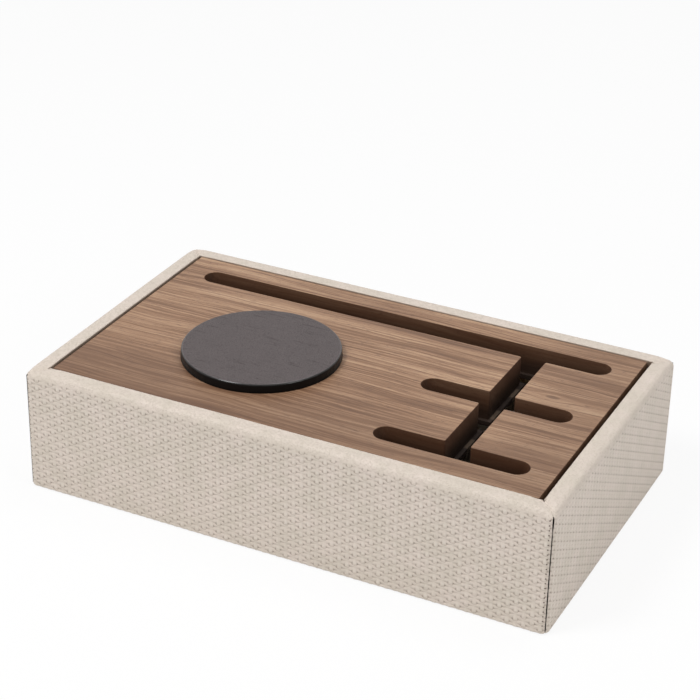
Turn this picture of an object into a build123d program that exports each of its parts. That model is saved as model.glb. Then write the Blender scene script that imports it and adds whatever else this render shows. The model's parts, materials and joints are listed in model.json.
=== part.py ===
from build123d import *

import os
from math import cos, radians, sin

# A leather-clad charging station: a box with a slotted walnut lid, a charging pad and a charger inside.
# Millimetres. +X runs along the long front, +Y to the back, +Z up. The origin is under the middle of the box.

# Whole box
box_length = 350.0
box_width = 208.0
box_height = 82.0
box_corner_radius = 3.2
rim_outer_radius = 2.8
rim_inner_radius = 1.2
bottom_edge_radius = 1.5

# Wall build-up
leather_thickness = 1.6
wall_board_thickness = 8.6
base_board_thickness = 8.0
leather_turn_under = 9.0
leather_lip_below_seat = 5.0
floor_lining_thickness = 1.0
felt_gap = 0.3

# Dowels between the wall boards
dowel_diameter = 5.0
dowel_length = 24.0
dowel_depth_in_wall = 6.0
dowel_end_play = 0.3
dowel_height_shares = (0.18, 0.5, 0.82)

# Seams at the four upright corners
stitch_from_corner = 3.7
stitch_pitch = 3.2
stitch_length = 2.0
stitch_width = 0.5
stitch_thickness = 0.3
stitch_groove_width = 0.8
stitch_groove_depth = 0.35
stitch_end_margin = 4.0

# Rails that carry the lid
rail_depth = 8.0
rail_height = 10.0
rail_chamfer = 3.0

# Walnut lid
lid_recess = 1.0
lid_thickness = 20.0
lid_gap_left = 1.3
lid_gap_right = 2.9
lid_gap_front = 0.7
lid_gap_back = 0.3
lid_corner_radius = 1.2
lid_edge_bevel = 0.4

# Slots in the lid
slot_width = 16.0
slot_front_margin = 17.4
slot_back_margin = 15.4
slot_right_margin = 16.0
back_slot_left_margin = 17.0
short_slot_length = 98.0
cross_slot_inset = 48.2
slot_corner_radius = 1.3

# Slot floor under the lid, with its cable ports
slot_floor_thickness = 3.0
slot_floor_inset = 1.0
port_ledge = 2.5
port_arm_length = 44.0

# Screws that hold the slot floor to the lid
lid_screw_diameter = 3.5
lid_screw_head_diameter = 7.0
lid_screw_head_height = 2.0
lid_screw_length = 15.0
lid_screw_column_shares = (0.07, 0.565, 0.90)
screw_clearance = 0.05

# Charging pad
pad_diameter = 101.0
pad_height = 8.6
pad_recess_depth = 2.5
pad_recess_clearance = 0.3
pad_shift_right = 0.7
pad_shift_back = 1.0
pad_leather = 1.3
pad_skin_clearance = 0.05
pad_edge_radius = 2.2
pad_wall = 1.6
pad_floor = 1.6
pad_top_plate_thickness = 1.4
pad_tape_thickness = 0.8
pad_tape_inset = 5.5
pad_tape_width = 5.0

# Inside the pad
coil_margin = 2.0
coil_band = 14.0
coil_thickness = 1.2
ferrite_thickness = 1.0
pad_board_length = 24.0
pad_board_width = 14.0
pad_board_thickness = 1.0
pad_board_wall_gap = 5.0
pad_board_gap = 1.5
pad_screw_inset = 7.5
pad_screw_angles = (30.0, 150.0, 270.0)
pad_peg_diameter = 5.2
pad_screw_diameter = 2.0
pad_screw_head_diameter = 3.6
pad_screw_head_height = 0.9
pad_screw_length = 4.2

# Lead gland of the pad, in the lead hole of the lid
gland_inset = 15.5
gland_diameter = 8.0
gland_flange_diameter = 11.0
gland_flange_height = 1.2
gland_drop = 12.0
gland_bore = 3.6
lead_hole_diameter = 14.0

# Charger in the compartment
charger_length = 104.0
charger_width = 66.0
charger_height = 27.0
charger_from_left = 60.0
charger_wall = 2.0
charger_corner_radius = 6.0
charger_edge_radius = 1.5
charger_lower_height = 15.0
charger_boss_diameter = 6.4
charger_boss_inset = 8.0
charger_standoff_height = 3.0
charger_board_thickness = 1.6
charger_board_gap = 0.5
charger_screw_diameter = 2.9
charger_screw_head_diameter = 5.4
charger_screw_head_height = 1.4
charger_screw_length = 20.0
strip_length = 84.0
strip_width = 16.0
strip_thickness = 1.6
strip_spacing = 38.0

# Sockets of the charger
socket_count = 5
socket_pitch = 9.2
socket_width = 5.8
socket_height = 13.2
socket_depth = 14.2
socket_sheet = 0.5
socket_clearance = 0.1
socket_set_back = 0.3
tongue_thickness = 1.9
tongue_height = 11.0
tongue_length = 8.5
tongue_root = 3.0
tongue_offset = 0.6

# Mains inlet of the charger
inlet_body_length = 16.0
inlet_body_width = 19.0
inlet_body_height = 11.0
inlet_flange_margin = 2.0
inlet_flange_thickness = 1.5
inlet_recess_width = 14.6
inlet_recess_height = 7.4
inlet_recess_depth = 12.0
inlet_pin_diameter = 2.4
inlet_pin_pitch = 8.6
inlet_pin_length = 9.5
inlet_pin_root = 2.5

# Parts on the charger's circuit board
transformer_length = 24.0
transformer_width = 20.0
transformer_height = 14.0
transformer_edge = 2.0
capacitor_diameter = 10.0
capacitor_height = 15.0
capacitor_spacing = 13.0
capacitor_from_transformer = 14.0

# Cable grommet in the back wall
grommet_height = 29.0
grommet_hole_diameter = 22.0
grommet_bore = 17.0
grommet_flange_diameter = 28.0
grommet_flange_thickness = 1.4
grommet_clearance = 0.05
grommet_edge_radius = 0.5

# One overrun for every cut
overrun = 2.0

# Places worked out from the sizes
board_offset = leather_thickness
board_inner_offset = board_offset + wall_board_thickness
wall_thickness = board_inner_offset + leather_thickness
half_length = box_length / 2
half_width = box_width / 2
board_bottom = leather_thickness
board_top = box_height - leather_thickness
floor_level = board_bottom + base_board_thickness
lining_level = floor_level + floor_lining_thickness
lid_top = box_height - lid_recess
lid_bottom = lid_top - lid_thickness
seat_level = lid_bottom - slot_floor_thickness
lip_bottom = seat_level - leather_lip_below_seat
inner_x = half_length - wall_thickness
inner_y = half_width - wall_thickness
lid_left = -inner_x + lid_gap_left
lid_right = inner_x - lid_gap_right
lid_front = -inner_y + lid_gap_front
lid_back = inner_y - lid_gap_back
front_slot_y = lid_front + slot_front_margin + slot_width / 2
back_slot_y = lid_back - slot_back_margin - slot_width / 2
middle_slot_y = (front_slot_y + back_slot_y) / 2
slots_right = lid_right - slot_right_margin
short_slots_left = slots_right - short_slot_length
cross_slot_x = slots_right - cross_slot_inset
pad_x = (lid_left + short_slots_left) / 2 + pad_shift_right
pad_y = (lid_front + back_slot_y - slot_width / 2) / 2 + pad_shift_back
pad_seat = lid_top - pad_recess_depth
pad_radius = pad_diameter / 2
pad_base_radius = pad_radius - pad_leather - pad_skin_clearance
pad_room_radius = pad_base_radius - pad_wall
ferrite_radius = pad_room_radius - pad_board_wall_gap - pad_board_width - pad_board_gap
coil_radius = ferrite_radius - coil_margin
gland_y = pad_y + pad_radius - gland_inset
pad_base_bottom = pad_seat + pad_tape_thickness
pad_floor_top = pad_base_bottom + pad_floor
pad_plate_top = pad_seat + pad_height - pad_leather - pad_skin_clearance
pad_plate_bottom = pad_plate_top - pad_top_plate_thickness
charger_left = -inner_x + charger_from_left
charger_right = charger_left + charger_length
charger_x = (charger_left + charger_right) / 2
charger_bottom = lining_level + strip_thickness
charger_split = charger_bottom + charger_lower_height
charger_top = charger_bottom + charger_height
charger_board_bottom = charger_bottom + charger_wall + charger_standoff_height
charger_board_top = charger_board_bottom + charger_board_thickness


def block(x0, x1, y0, y1, z0, z1):
    """A box between two corners."""
    middle = Pos((x0 + x1) / 2, (y0 + y1) / 2, (z0 + z1) / 2)
    return middle * Box(x1 - x0, y1 - y0, z1 - z0)


def ring_block(offset, z0, z1):
    """A box as large as the whole box, less an offset on its four sides."""
    return block(offset - half_length, half_length - offset, offset - half_width, half_width - offset, z0, z1)


def rounded_block(x0, x1, y0, y1, z0, z1, radius):
    """A box whose upright edges are rounded."""
    solid = block(x0, x1, y0, y1, z0, z1)
    return fillet(solid.edges().filter_by(Axis.Z), radius)


def post(x, y, z0, z1, diameter):
    """An upright cylinder."""
    return Pos(x, y, (z0 + z1) / 2) * Cylinder(diameter / 2, z1 - z0)


def rod(start, end, diameter):
    """A cylinder between two points."""
    a = Vector(*start)
    b = Vector(*end)
    plane = Plane(origin=(a + b) / 2, z_dir=b - a)
    return plane * Cylinder(diameter / 2, (b - a).length)


def group(solids):
    """Separate solids kept as one node."""
    return Compound([piece.solid() for piece in solids])


def save(name, shape):
    """Write one node."""
    export_step(shape, os.path.join("parts", name + ".step"))


# Wall boards, base and dowels


def dowel_lines():
    """The two ends of each dowel: it lies along Y, across a corner of the boards."""
    lines = []
    dowel_x = half_length - board_offset - wall_board_thickness / 2
    joint_y = half_width - board_inner_offset
    for side_x in (-dowel_x, dowel_x):
        for sign in (-1, 1):
            for share in dowel_height_shares:
                z = board_bottom + share * (board_top - board_bottom)
                outer = sign * (joint_y + dowel_depth_in_wall)
                inner = outer - sign * dowel_length
                lines.append(((side_x, outer, z), (side_x, inner, z)))
    return lines


def dowel_holes():
    """The holes that the dowels are glued into, a little longer than the dowels."""
    hole_diameter = dowel_diameter + 2 * screw_clearance
    holes = []
    for (x, y0, z), (_, y1, _) in dowel_lines():
        end_play = dowel_end_play if y0 > y1 else -dowel_end_play
        holes.append(rod((x, y0 + end_play, z), (x, y1 - end_play, z), hole_diameter))
    return holes


def long_wall_board(sign):
    """The front or back board, as long as the box inside its leather."""
    outer = sign * (half_width - board_offset)
    inner = sign * (half_width - board_inner_offset)
    ends = half_length - board_offset
    solid = block(-ends, ends, min(outer, inner), max(outer, inner), board_bottom, board_top)
    corner = solid.edges().filter_by(Axis.Z).sort_by(Axis.Y)
    corner = corner[-2:] if sign > 0 else corner[:2]
    solid = fillet(corner, box_corner_radius - leather_thickness)
    return solid - dowel_holes()


def short_wall_board(sign):
    """The left or right board, between the two long ones."""
    outer = sign * (half_length - board_offset)
    inner = sign * (half_length - board_inner_offset)
    ends = half_width - board_inner_offset
    solid = block(min(outer, inner), max(outer, inner), -ends, ends, board_bottom, board_top)
    return solid - dowel_holes()


def grommet_cut(diameter, y0, y1):
    """A round hole through the back wall, where the mains lead goes out."""
    return rod((0, y0, grommet_height), (0, y1, grommet_height), diameter)


def base_board():
    """The board that closes the bottom between the walls."""
    return ring_block(board_inner_offset, board_bottom, floor_level)


# Leather wraps


def leather_shell():
    """The whole skin before it is cut at the mitres: outside, rim, inner lip and turned-under edge."""
    outer = rounded_block(-half_length, half_length, -half_width, half_width, 0, box_height, box_corner_radius)
    outer = fillet(outer.faces().sort_by(Axis.Z)[-1].edges(), rim_outer_radius)
    outer = fillet(outer.faces().sort_by(Axis.Z)[0].edges(), bottom_edge_radius)
    ends = half_length - board_offset
    sides = half_width - board_offset
    board_corner = box_corner_radius - leather_thickness
    boards = rounded_block(-ends, ends, -sides, sides, board_bottom, board_top, board_corner)
    lip = ring_block(board_inner_offset, lip_bottom, box_height) - ring_block(wall_thickness, 0, box_height)
    shell = outer - (boards - lip)
    shell = shell - ring_block(wall_thickness, board_bottom, box_height + overrun)
    shell = shell - ring_block(leather_turn_under, -overrun, board_bottom + overrun / 2)
    top_face = shell.faces().sort_by(Axis.Z)[-1]
    return fillet(top_face.inner_wires()[0].edges(), rim_inner_radius)


def mitre_wedge(length, width):
    """The part of the plan that belongs to the front side of a length by width rectangle."""
    depth = wall_thickness + overrun
    points = [
        (-length / 2 - overrun, -width / 2 - overrun),
        (length / 2 + overrun, -width / 2 - overrun),
        (length / 2 - depth, -width / 2 + depth),
        (-length / 2 + depth, -width / 2 + depth),
    ]
    face = make_face(Polyline(*points, close=True))
    return Pos(0, 0, -overrun) * extrude(face, amount=box_height + 2 * overrun)


def stitch_columns():
    """The four seam lines, on the front and back faces beside the upright corners."""
    column_x = half_length - stitch_from_corner
    return [(x, sign) for x in (-column_x, column_x) for sign in (-1, 1)]


def face_strip(x, sign, width, depth0, depth1, z0, z1):
    """A strip beside a seam line, between two depths under the front or back face."""
    ya = sign * (half_width - depth0)
    yb = sign * (half_width - depth1)
    return block(x - width / 2, x + width / 2, min(ya, yb), max(ya, yb), z0, z1)


def stitch_grooves():
    """The shallow channels that the thread lies in."""
    z0 = stitch_end_margin
    z1 = box_height - stitch_end_margin
    return [
        face_strip(x, sign, stitch_groove_width, -overrun, stitch_groove_depth, z0, z1)
        for x, sign in stitch_columns()
    ]


def corner_stitching():
    """The stitches, each lying on the floor of its groove."""
    span = box_height - 2 * stitch_end_margin
    count = int(span / stitch_pitch)
    first = stitch_end_margin + (span - (count - 1) * stitch_pitch) / 2
    outside = stitch_groove_depth - stitch_thickness
    stitches = []
    for x, sign in stitch_columns():
        for number in range(count):
            z = first + number * stitch_pitch
            ends = (z - stitch_length / 2, z + stitch_length / 2)
            stitches.append(face_strip(x, sign, stitch_width, outside, stitch_groove_depth, *ends))
    return group(stitches)


def leather_wraps():
    """The skin cut into the four wraps that meet at the mitres."""
    shell = leather_shell() - stitch_grooves()
    outlet = grommet_flange_diameter + 2 * grommet_clearance
    shell = shell - grommet_cut(outlet, half_width - board_offset - overrun / 2, half_width + overrun)
    front = mitre_wedge(box_length, box_width)
    side = mitre_wedge(box_width, box_length)
    return {
        "front_leather_wrap": shell & front,
        "back_leather_wrap": shell & (Rot(Z=180) * front),
        "left_leather_wrap": shell & (Rot(Z=-90) * side),
        "right_leather_wrap": shell & (Rot(Z=90) * side),
    }


# Linings, felt and rails


def long_lining(sign):
    """The lining on the front or back board, below the leather lip."""
    outer = sign * (half_width - board_inner_offset)
    inner = sign * inner_y
    ends = half_length - board_inner_offset
    return block(-ends, ends, min(outer, inner), max(outer, inner), floor_level, lip_bottom)


def short_lining(sign):
    """The lining on the left or right board, between the two long linings."""
    outer = sign * (half_length - board_inner_offset)
    inner = sign * inner_x
    return block(min(outer, inner), max(outer, inner), -inner_y, inner_y, floor_level, lip_bottom)


def floor_lining():
    """The sheet on the base board."""
    return block(-inner_x, inner_x, -inner_y, inner_y, floor_level, lining_level)


def underside_felt():
    """The felt under the base, inside the turned-under leather."""
    return ring_block(leather_turn_under + felt_gap, 0, board_bottom)


def rail(x0, x1, y0, y1, free_side):
    """A batten under the lid, chamfered along its lower free edge."""
    solid = block(x0, x1, y0, y1, seat_level - rail_height, seat_level)
    direction = Axis.X if free_side in ("+X", "-X") else Axis.Y
    along = Axis.Y if free_side in ("+X", "-X") else Axis.X
    edges = solid.edges().filter_by(along).group_by(Axis.Z)[0].sort_by(direction)
    edge = edges[-1] if free_side.startswith("+") else edges[0]
    return chamfer(edge, rail_chamfer)


def lid_rails():
    """The four battens that carry the lid."""
    short_y = inner_y - rail_depth
    return {
        "front_lid_rail": rail(-inner_x, inner_x, -inner_y, -short_y, "+Y"),
        "back_lid_rail": rail(-inner_x, inner_x, short_y, inner_y, "-Y"),
        "left_lid_rail": rail(-inner_x, rail_depth - inner_x, -short_y, short_y, "+X"),
        "right_lid_rail": rail(inner_x - rail_depth, inner_x, -short_y, short_y, "-X"),
    }


def cable_grommet():
    """A flanged ring in the back wall, flush with the leather."""
    flange_y = half_width - board_offset + grommet_flange_thickness
    ring = grommet_cut(grommet_hole_diameter - 2 * grommet_clearance, inner_y, half_width - board_offset)
    ring = ring + grommet_cut(grommet_flange_diameter, half_width - board_offset, flange_y)
    ring = ring - grommet_cut(grommet_bore, inner_y - overrun, flange_y + overrun)
    outer_circle = ring.edges().filter_by(GeomType.CIRCLE).sort_by(Axis.Y)[-2:]
    return fillet(outer_circle, grommet_edge_radius)


# Lid


def row_slot(left, right, y, width):
    """A round-ended slot along X."""
    return Pos((left + right) / 2, y) * SlotOverall(right - left, width)


def slot_network():
    """The plan of the three device slots and the cross slot, with eased corners."""
    plan = row_slot(lid_left + back_slot_left_margin, slots_right, back_slot_y, slot_width)
    plan = plan + row_slot(short_slots_left, slots_right, middle_slot_y, slot_width)
    plan = plan + row_slot(short_slots_left, slots_right, front_slot_y, slot_width)
    cross_y = (front_slot_y + back_slot_y) / 2
    plan = plan + Pos(cross_slot_x, cross_y) * Rectangle(slot_width, back_slot_y - front_slot_y)
    rows = (
        front_slot_y + slot_width / 2,
        middle_slot_y - slot_width / 2,
        middle_slot_y + slot_width / 2,
        back_slot_y - slot_width / 2,
    )
    corners = [
        Vector(cross_slot_x + side * slot_width / 2, y) for side in (-1, 1) for y in rows
    ]
    nearest = [plan.vertices().sort_by_distance(corner)[0] for corner in corners]
    return fillet(nearest, slot_corner_radius)


def port_network():
    """The plan of the cable ports: narrower than the slots, so that a ledge is left beside them."""
    width = slot_width - 2 * port_ledge
    plan = Pos(cross_slot_x, (front_slot_y + back_slot_y) / 2) * Rectangle(width, back_slot_y - front_slot_y)
    for y in (front_slot_y, middle_slot_y, back_slot_y):
        plan = plan + row_slot(cross_slot_x - port_arm_length / 2, cross_slot_x + port_arm_length / 2, y, width)
    return plan


def lid_screw_places():
    """The screws stand in two rows, halfway between the slots."""
    rows = ((front_slot_y + middle_slot_y) / 2, (middle_slot_y + back_slot_y) / 2)
    columns = [lid_left + share * (lid_right - lid_left) for share in lid_screw_column_shares]
    return [(x, y) for x in columns for y in rows]


def countersunk(x, y, z, shank_diameter, head_diameter, head_height, length):
    """A countersunk screw driven upwards, its head flush at height z."""
    cone_height = head_height
    head = Cone(head_diameter / 2, shank_diameter / 2, cone_height)
    head = Pos(x, y, z + cone_height / 2) * head
    return head + post(x, y, z + cone_height, z + length, shank_diameter)


def lid_screws(clearance):
    """The lid screws, or with a clearance the holes for them."""
    return [
        countersunk(
            x, y, seat_level,
            lid_screw_diameter + 2 * clearance,
            lid_screw_head_diameter + 2 * clearance,
            lid_screw_head_height + clearance,
            lid_screw_length + clearance,
        )
        for x, y in lid_screw_places()
    ]


def lead_hole(z0, z1):
    """The hole under the pad for its lead."""
    return post(pad_x, gland_y, z0, z1, lead_hole_diameter)


def walnut_lid():
    """One thick panel, slotted right through, with a shallow round recess for the pad."""
    panel = rounded_block(lid_left, lid_right, lid_front, lid_back, lid_bottom, lid_top, lid_corner_radius)
    plan = Pos(0, 0, lid_bottom - overrun) * slot_network()
    panel = panel - extrude(plan, amount=lid_thickness + 2 * overrun)
    top_face = panel.faces().sort_by(Axis.Z)[-1]
    panel = chamfer(top_face.edges(), lid_edge_bevel)
    recess = pad_diameter + 2 * pad_recess_clearance
    panel = panel - post(pad_x, pad_y, pad_seat, lid_top + overrun, recess)
    panel = panel - lead_hole(lid_bottom - overrun, lid_top)
    return panel - lid_screws(screw_clearance)


def lid_slot_floor():
    """The plate under the panel: the floor of the device slots, open where cables come up."""
    inset = slot_floor_inset
    plate = block(lid_left + inset, lid_right - inset, lid_front + inset, lid_back - inset, seat_level, lid_bottom)
    plan = Pos(0, 0, seat_level - overrun) * port_network()
    plate = plate - extrude(plan, amount=slot_floor_thickness + 2 * overrun)
    plate = plate - lead_hole(seat_level - overrun, lid_bottom + overrun)
    return plate - lid_screws(screw_clearance)


# Charging pad


def pad_screw_places():
    """Three screws on a circle round the pad's centre."""
    reach = pad_radius - pad_screw_inset
    return [(pad_x + reach * cos(radians(a)), pad_y + reach * sin(radians(a))) for a in pad_screw_angles]


def pad_screws(clearance):
    """The pad's screws, or with a clearance the holes for them."""
    return [
        countersunk(
            x, y, pad_base_bottom,
            pad_screw_diameter + 2 * clearance,
            pad_screw_head_diameter + 2 * clearance,
            pad_screw_head_height + clearance,
            pad_screw_length + clearance,
        )
        for x, y in pad_screw_places()
    ]


def pad_tape():
    """The adhesive foam ring that holds the pad in its recess."""
    outer = pad_diameter - 2 * pad_tape_inset
    inner = outer - 2 * pad_tape_width
    ring = post(pad_x, pad_y, pad_seat, pad_base_bottom, outer)
    return ring - post(pad_x, pad_y, pad_seat - overrun, pad_base_bottom + overrun, inner)


def pad_base():
    """A shallow tray."""
    tray = post(pad_x, pad_y, pad_base_bottom, pad_plate_bottom, 2 * pad_base_radius)
    tray = tray - post(pad_x, pad_y, pad_floor_top, pad_plate_bottom + overrun, 2 * pad_room_radius)
    stem = gland_diameter + 2 * pad_skin_clearance
    tray = tray - post(pad_x, gland_y, pad_base_bottom - overrun, pad_plate_bottom, stem)
    return tray - pad_screws(screw_clearance)


def pad_top_plate():
    """The plate that closes the tray, with three pegs that take the screws."""
    plate = post(pad_x, pad_y, pad_plate_bottom, pad_plate_top, 2 * pad_base_radius)
    plate = fillet(plate.edges().sort_by(Axis.Z)[-1], pad_edge_radius - pad_leather)
    for x, y in pad_screw_places():
        plate = plate + post(x, y, pad_floor_top, pad_plate_bottom, pad_peg_diameter)
    return plate - pad_screws(screw_clearance)


def pad_leather_cover():
    """The leather over the top plate and down the side of the base."""
    cover = post(pad_x, pad_y, pad_base_bottom, pad_seat + pad_height, pad_diameter)
    cover = fillet(cover.edges().sort_by(Axis.Z)[-1], pad_edge_radius)
    cavity_top = pad_seat + pad_height - pad_leather
    cavity = post(pad_x, pad_y, pad_base_bottom - overrun, cavity_top, pad_diameter - 2 * pad_leather)
    cavity = fillet(cavity.edges().sort_by(Axis.Z)[-1], pad_edge_radius - pad_leather)
    return cover - cavity


def pad_ferrite():
    """The shield under the coil."""
    return post(pad_x, pad_y, pad_floor_top, pad_floor_top + ferrite_thickness, 2 * ferrite_radius)


def pad_coil():
    """The charging coil, a flat ring of wire."""
    z0 = pad_floor_top + ferrite_thickness
    z1 = z0 + coil_thickness
    ring = post(pad_x, pad_y, z0, z1, 2 * coil_radius)
    return ring - post(pad_x, pad_y, z0 - overrun, z1 + overrun, 2 * (coil_radius - coil_band))


def pad_circuit_board():
    """The pad's small board, beside the coil."""
    x0 = pad_x - pad_room_radius + pad_board_wall_gap
    x1 = x0 + pad_board_width
    y0 = pad_y - pad_board_length / 2
    return block(x0, x1, y0, y0 + pad_board_length, pad_floor_top, pad_floor_top + pad_board_thickness)


def pad_lead_gland():
    """The gland that the pad's lead comes out of, down in the lead hole of the lid."""
    low = pad_base_bottom - gland_drop
    high = pad_floor_top + gland_flange_height
    gland = post(pad_x, gland_y, low, pad_floor_top, gland_diameter)
    gland = gland + post(pad_x, gland_y, pad_floor_top, high, gland_flange_diameter)
    return gland - post(pad_x, gland_y, low - overrun, high + overrun, gland_bore)


# Charger


def charger_shell(z0, z1, closed_end):
    """Half of the charger's case: a rounded tray open upwards or downwards."""
    half = charger_width / 2
    solid = rounded_block(charger_left, charger_right, -half, half, z0, z1, charger_corner_radius)
    end_face = solid.faces().sort_by(Axis.Z)[closed_end]
    solid = fillet(end_face.edges(), charger_edge_radius)
    low = z0 + charger_wall if closed_end == 0 else z0 - overrun
    high = z1 - charger_wall if closed_end == -1 else z1 + overrun
    hollow = rounded_block(
        charger_left + charger_wall, charger_right - charger_wall, charger_wall - half, half - charger_wall,
        low, high, charger_corner_radius - charger_wall,
    )
    return solid - hollow


def charger_boss_places():
    """The four corners where the case is screwed together."""
    x = charger_length / 2 - charger_boss_inset
    y = charger_width / 2 - charger_boss_inset
    return [(charger_x + side * x, sign * y) for side in (-1, 1) for sign in (-1, 1)]


def charger_screws(clearance):
    """The case screws, or with a clearance the holes for them."""
    return [
        countersunk(
            x, y, charger_bottom,
            charger_screw_diameter + 2 * clearance,
            charger_screw_head_diameter + 2 * clearance,
            charger_screw_head_height + clearance,
            charger_screw_length + clearance,
        )
        for x, y in charger_boss_places()
    ]


def socket_rows():
    """The middle of each socket along Y."""
    return [(number - (socket_count - 1) / 2) * socket_pitch for number in range(socket_count)]


def socket_block(y, grow):
    """The outside of one socket, grown by a clearance, and run out of the case when grown."""
    x0 = charger_right - socket_set_back - socket_depth
    x1 = charger_right + overrun if grow > 0 else charger_right - socket_set_back
    width = socket_width / 2 + grow
    return block(x0, x1, y - width, y + width, charger_board_top, charger_board_top + socket_height + grow)


def inlet_level():
    """The middle of the mains inlet above the floor: it stands on the board's level."""
    return charger_board_top + inlet_body_height / 2 + inlet_flange_margin


def inlet_block(x0, x1, margin):
    """A block round the inlet's axis, grown by a margin."""
    width = inlet_body_width / 2 + margin
    height = inlet_body_height / 2 + margin
    z = inlet_level()
    return block(x0, x1, -width, width, z - height, z + height)


def case_cuts():
    """What is cut out of both halves of the case: sockets, inlet and screws."""
    cuts = [socket_block(y, socket_clearance) for y in socket_rows()]
    cuts.append(inlet_block(charger_left - overrun, charger_left + inlet_body_length, socket_clearance))
    return cuts + charger_screws(screw_clearance)


def charger_lower_case():
    """The lower half, with a standoff under each corner of the board."""
    case = charger_shell(charger_bottom, charger_split, 0)
    for x, y in charger_boss_places():
        case = case + post(x, y, charger_bottom + charger_wall, charger_board_bottom, charger_boss_diameter)
    return case - case_cuts()


def charger_upper_case():
    """The upper half, with a boss that reaches down to the board at each corner."""
    case = charger_shell(charger_split, charger_top, -1)
    for x, y in charger_boss_places():
        case = case + post(x, y, charger_board_top, charger_top - charger_wall, charger_boss_diameter)
    return case - case_cuts()


def charger_circuit_board():
    """The board between the standoffs and the bosses."""
    gap = charger_wall + charger_board_gap
    x0 = charger_left + gap
    x1 = charger_right - gap
    y1 = charger_width / 2 - gap
    radius = charger_corner_radius - gap
    board = rounded_block(x0, x1, -y1, y1, charger_board_bottom, charger_board_top, radius)
    return board - charger_screws(screw_clearance)


def charger_sockets():
    """The five metal shells, open at the right-hand end of the charger."""
    shells = []
    for y in socket_rows():
        width = socket_width / 2 - socket_sheet
        x0 = charger_right - socket_set_back - socket_depth + socket_sheet
        z0 = charger_board_top + socket_sheet
        z1 = charger_board_top + socket_height - socket_sheet
        hollow = block(x0, charger_right + overrun, y - width, y + width, z0, z1)
        shells.append(socket_block(y, 0) - hollow)
    return group(shells)


def charger_socket_tongues():
    """The contact tongue inside each shell, on its root at the back."""
    tongues = []
    middle = charger_board_top + socket_height / 2
    for y in socket_rows():
        width = socket_width / 2 - socket_sheet
        height = socket_height / 2 - socket_sheet
        x0 = charger_right - socket_set_back - socket_depth + socket_sheet
        x1 = x0 + tongue_root
        root = block(x0, x1, y - width, y + width, middle - height, middle + height)
        half = tongue_thickness / 2
        side = y + tongue_offset
        z0 = middle - tongue_height / 2
        tongue = block(x1, x1 + tongue_length, side - half, side + half, z0, z0 + tongue_height)
        tongues.append(root + tongue)
    return group(tongues)


def inlet_pin_places():
    """The two pins of the mains inlet along Y."""
    return (-inlet_pin_pitch / 2, inlet_pin_pitch / 2)


def charger_mains_inlet():
    """The inlet: a flanged block with a round-ended recess."""
    x1 = charger_left + inlet_body_length
    flange_x = charger_left - inlet_flange_thickness
    inlet = inlet_block(charger_left, x1, 0) + inlet_block(flange_x, charger_left, inlet_flange_margin)
    plane = Plane(origin=(flange_x, 0, inlet_level()), x_dir=(0, 1, 0), z_dir=(1, 0, 0))
    mouth = extrude(plane * SlotOverall(inlet_recess_width, inlet_recess_height), amount=inlet_recess_depth)
    inlet = inlet - mouth
    deep = flange_x + inlet_recess_depth + inlet_pin_root + screw_clearance
    z = inlet_level()
    hole = inlet_pin_diameter + 2 * screw_clearance
    return inlet - [rod((flange_x, y, z), (deep, y, z), hole) for y in inlet_pin_places()]


def charger_inlet_pins():
    """The two round pins, pressed into the back of the recess."""
    z = inlet_level()
    back = charger_left - inlet_flange_thickness + inlet_recess_depth
    pins = []
    for y in inlet_pin_places():
        start = (back - inlet_pin_length, y, z)
        pins.append(rod(start, (back + inlet_pin_root, y, z), inlet_pin_diameter))
    return group(pins)


def charger_transformer():
    """The transformer on the board."""
    x0 = charger_x - transformer_length / 2
    y0 = -transformer_width / 2
    solid = block(
        x0, x0 + transformer_length, y0, y0 + transformer_width,
        charger_board_top, charger_board_top + transformer_height,
    )
    return chamfer(solid.edges().filter_by(Axis.Z), transformer_edge)


def charger_capacitors():
    """Two capacitors beside the transformer."""
    y = transformer_width / 2 + capacitor_from_transformer - capacitor_diameter / 2
    z1 = charger_board_top + capacitor_height
    cans = []
    for x in (charger_x - capacitor_spacing / 2, charger_x + capacitor_spacing / 2):
        cans.append(post(x, y, charger_board_top, z1, capacitor_diameter))
    return group(cans)


def charger_strips():
    """Two hook-and-loop strips that hold the charger to the floor lining."""
    strips = []
    x0 = charger_x - strip_length / 2
    for y in (-strip_spacing / 2, strip_spacing / 2):
        y0 = y - strip_width / 2
        strips.append(block(x0, x0 + strip_length, y0, y0 + strip_width, lining_level, charger_bottom))
    return group(strips)


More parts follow.
